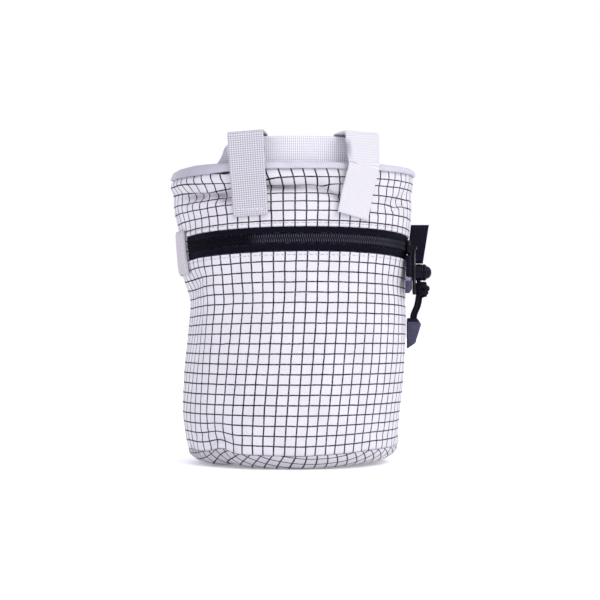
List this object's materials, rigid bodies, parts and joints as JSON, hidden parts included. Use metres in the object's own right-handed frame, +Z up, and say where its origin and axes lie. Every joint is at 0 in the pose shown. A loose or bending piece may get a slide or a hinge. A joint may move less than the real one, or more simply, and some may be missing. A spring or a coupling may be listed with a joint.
{
  "type": "climbing chalk bag",
  "caption": "Small round chalk bag in grid cloth with a rolled mouth, belt through two webbing loops, front zip pocket, brush loop, side tab and cord lock.",
  "frame": {"origin": "middle of the base's flat underside, on the surface that the bag stands on", "axes": "+Z up out of the mouth, -Y out of the front with the zip pocket, +X towards the side tab"},
  "size_m": [0.1522, 0.1223, 0.187],
  "materials": {
    "grid_cloth": "fine ripstop cloth, white with thin dark grid lines",
    "binding": "soft rolled binding",
    "white_webbing": "ribbed flat webbing",
    "black_webbing": "dense woven tape",
    "zip_coil": "nylon coil",
    "dark_metal": "satin dark coating",
    "slate_plastic": "moulded, satin",
    "black_plastic": "glossy moulded",
    "black_cord": "braided"
  },
  "bodies": {
    "bag": {"shell": "grid_cloth", "base_panel": "grid_cloth", "rim_binding": "binding", "zip_tape_upper": "black_webbing", "zip_tape_lower": "black_webbing", "zip_coil": "zip_coil", "zip_slider": "dark_metal", "belt_strap": "white_webbing", "belt_loop_left": "white_webbing", "belt_loop_right": "white_webbing", "brush_loop": "white_webbing", "side_tab": "black_webbing", "cord_lock_barrel": "black_plastic", "cord_upper_front": "black_cord", "cord_upper_back": "black_cord", "cord_lower_left": "black_cord", "cord_lower_right": "black_cord", "cord_knot": "black_cord", "cord_end": "slate_plastic"},
    "puller": {"zip_puller": "dark_metal", "pull_tape": "black_webbing", "pull_grip": "slate_plastic"},
    "lock_button": {"cord_lock_button": "black_plastic"}
  },
  "joints": [
    {"name": "puller_swing", "type": "hinge", "parent": "bag", "child": "puller", "pos_m": [0.07032, -0.01428, 0.12404], "axis": [-0.2079, -0.9781, 0], "range_deg": [0, 165]},
    {"name": "lock_press", "type": "slide", "parent": "bag", "child": "lock_button", "axis": [-1, 0, 0], "range_m": [0, 0.0022], "stiffness_N_per_m": 300}
  ]
}
